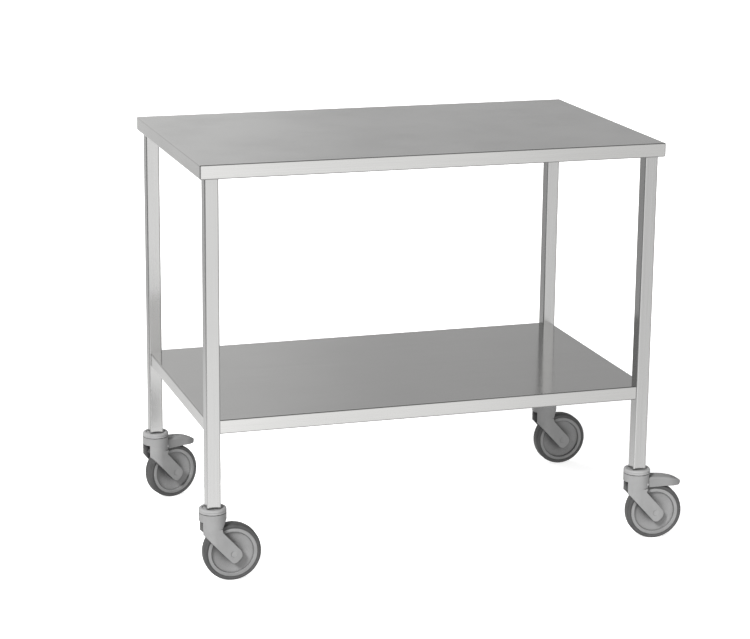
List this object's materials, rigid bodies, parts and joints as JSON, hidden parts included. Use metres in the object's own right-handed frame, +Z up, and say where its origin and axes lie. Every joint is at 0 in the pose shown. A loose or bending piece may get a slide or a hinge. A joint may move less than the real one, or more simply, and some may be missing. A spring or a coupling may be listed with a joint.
{
  "type": "stainless work table",
  "caption": "Stainless two-tier work table: a folded worktop and lower shelf on square tube legs, rolling on swivel castors, some with brake pedals.",
  "frame": {"origin": "on the floor, under the middle of the worktop", "axes": "+X along the table's length to the right, +Y to the back, +Z up, normal to the worktop"},
  "size_m": [1.0981, 0.6284, 0.895],
  "materials": {
    "brushed_stainless": "fine brushed stainless steel",
    "zinc_steel": "zinc plated",
    "bearing_steel": "ground steel",
    "castor_plastic": "fine textured moulded nylon",
    "wheel_plastic": "moulded polypropylene",
    "tyre_rubber": "smooth grey rubber",
    "bush_nylon": "natural nylon",
    "shoe_plastic": "moulded nylon",
    "expander_rubber": "rubber"
  },
  "bodies": {
    "frame": {"worktop": "brushed_stainless", "worktop_stiffeners": "brushed_stainless", "shelf": "brushed_stainless", "shelf_stiffener": "brushed_stainless", "leg_top_plates": "zinc_steel", "worktop_studs": "zinc_steel", "worktop_nuts": "zinc_steel", "shelf_welds": "brushed_stainless", "castor_kingpins": "zinc_steel", "expander_sleeves": "expander_rubber", "expander_nuts": "zinc_steel", "swivel_inner_rings": "bearing_steel", "leg_front_left": "brushed_stainless", "leg_front_right": "brushed_stainless", "leg_back_left": "brushed_stainless", "leg_back_right": "brushed_stainless", "front_left_castor_collar": "castor_plastic", "front_right_castor_collar": "castor_plastic", "back_left_castor_collar": "castor_plastic", "back_right_castor_collar": "castor_plastic"},
    "front_left_castor": {"front_left_fork": "castor_plastic", "front_left_swivel_bearing": "bearing_steel", "front_left_axle": "zinc_steel", "front_left_axle_caps": "castor_plastic"},
    "front_left_wheel": {"front_left_wheel_core": "wheel_plastic", "front_left_tyre": "tyre_rubber", "front_left_wheel_bush": "bush_nylon"},
    "front_right_castor": {"front_right_fork": "castor_plastic", "front_right_swivel_bearing": "bearing_steel", "front_right_axle": "zinc_steel", "front_right_axle_caps": "castor_plastic", "front_right_pedal_pin": "zinc_steel", "front_right_brake_spring": "zinc_steel"},
    "front_right_wheel": {"front_right_wheel_core": "wheel_plastic", "front_right_tyre": "tyre_rubber", "front_right_wheel_bush": "bush_nylon"},
    "front_right_pedal": {"front_right_brake_pedal": "castor_plastic"},
    "front_right_shoe": {"front_right_brake_shoe": "shoe_plastic"},
    "back_left_castor": {"back_left_fork": "castor_plastic", "back_left_swivel_bearing": "bearing_steel", "back_left_axle": "zinc_steel", "back_left_axle_caps": "castor_plastic", "back_left_pedal_pin": "zinc_steel", "back_left_brake_spring": "zinc_steel"},
    "back_left_wheel": {"back_left_wheel_core": "wheel_plastic", "back_left_tyre": "tyre_rubber", "back_left_wheel_bush": "bush_nylon"},
    "back_left_pedal": {"back_left_brake_pedal": "castor_plastic"},
    "back_left_shoe": {"back_left_brake_shoe": "shoe_plastic"},
    "back_right_castor": {"back_right_fork": "castor_plastic", "back_right_swivel_bearing": "bearing_steel", "back_right_axle": "zinc_steel", "back_right_axle_caps": "castor_plastic"},
    "back_right_wheel": {"back_right_wheel_core": "wheel_plastic", "back_right_tyre": "tyre_rubber", "back_right_wheel_bush": "bush_nylon"}
  },
  "joints": [
    {"name": "front_left_swivel", "type": "hinge", "parent": "frame", "child": "front_left_castor", "pos_m": [-0.483, -0.278, 0.146], "axis": [0, 0, 1], "continuous": true},
    {"name": "front_left_wheel_spin", "type": "hinge", "parent": "front_left_castor", "child": "front_left_wheel", "pos_m": [-0.44301, -0.27887, 0.0625], "axis": [0.0218, 0.9998, 0], "continuous": true},
    {"name": "front_right_swivel", "type": "hinge", "parent": "frame", "child": "front_right_castor", "pos_m": [0.483, -0.278, 0.146], "axis": [0, 0, 1], "continuous": true},
    {"name": "front_right_wheel_spin", "type": "hinge", "parent": "front_right_castor", "child": "front_right_wheel", "pos_m": [0.52273, -0.28267, 0.0625], "axis": [0.1167, 0.9932, 0], "continuous": true},
    {"name": "front_right_pedal_press", "type": "hinge", "parent": "front_right_castor", "child": "front_right_pedal", "pos_m": [0.50187, -0.28022, 0.129], "axis": [0.1167, 0.9932, 0], "range_deg": [0, 6]},
    {"name": "front_right_shoe_slide", "type": "slide", "parent": "front_right_castor", "child": "front_right_shoe", "axis": [0.5838, -0.0686, -0.809], "range_m": [0, 0.0018]},
    {"name": "back_left_swivel", "type": "hinge", "parent": "frame", "child": "back_left_castor", "pos_m": [-0.483, 0.278, 0.146], "axis": [0, 0, 1], "continuous": true},
    {"name": "back_left_wheel_spin", "type": "hinge", "parent": "back_left_castor", "child": "back_left_wheel", "pos_m": [-0.44475, 0.28969, 0.0625], "axis": [-0.2924, 0.9563, 0], "continuous": true},
    {"name": "back_left_pedal_press", "type": "hinge", "parent": "back_left_castor", "child": "back_left_pedal", "pos_m": [-0.46483, 0.28356, 0.129], "axis": [-0.2924, 0.9563, 0], "range_deg": [0, 6]},
    {"name": "back_left_shoe_slide", "type": "slide", "parent": "back_left_castor", "child": "back_left_shoe", "axis": [0.5621, 0.1719, -0.809], "range_m": [0, 0.0018]},
    {"name": "back_right_swivel", "type": "hinge", "parent": "frame", "child": "back_right_castor", "pos_m": [0.483, 0.278, 0.146], "axis": [0, 0, 1], "continuous": true},
    {"name": "back_right_wheel_spin", "type": "hinge", "parent": "back_right_castor", "child": "back_right_wheel", "pos_m": [0.523, 0.27765, 0.0625], "axis": [0.0087, 1, 0], "continuous": true}
  ],
  "couplings": [
    {"joint": "front_right_shoe_slide", "follows": "front_right_pedal_press", "m_per_rad": 0.017188},
    {"joint": "back_left_shoe_slide", "follows": "back_left_pedal_press", "m_per_rad": 0.017188}
  ]
}
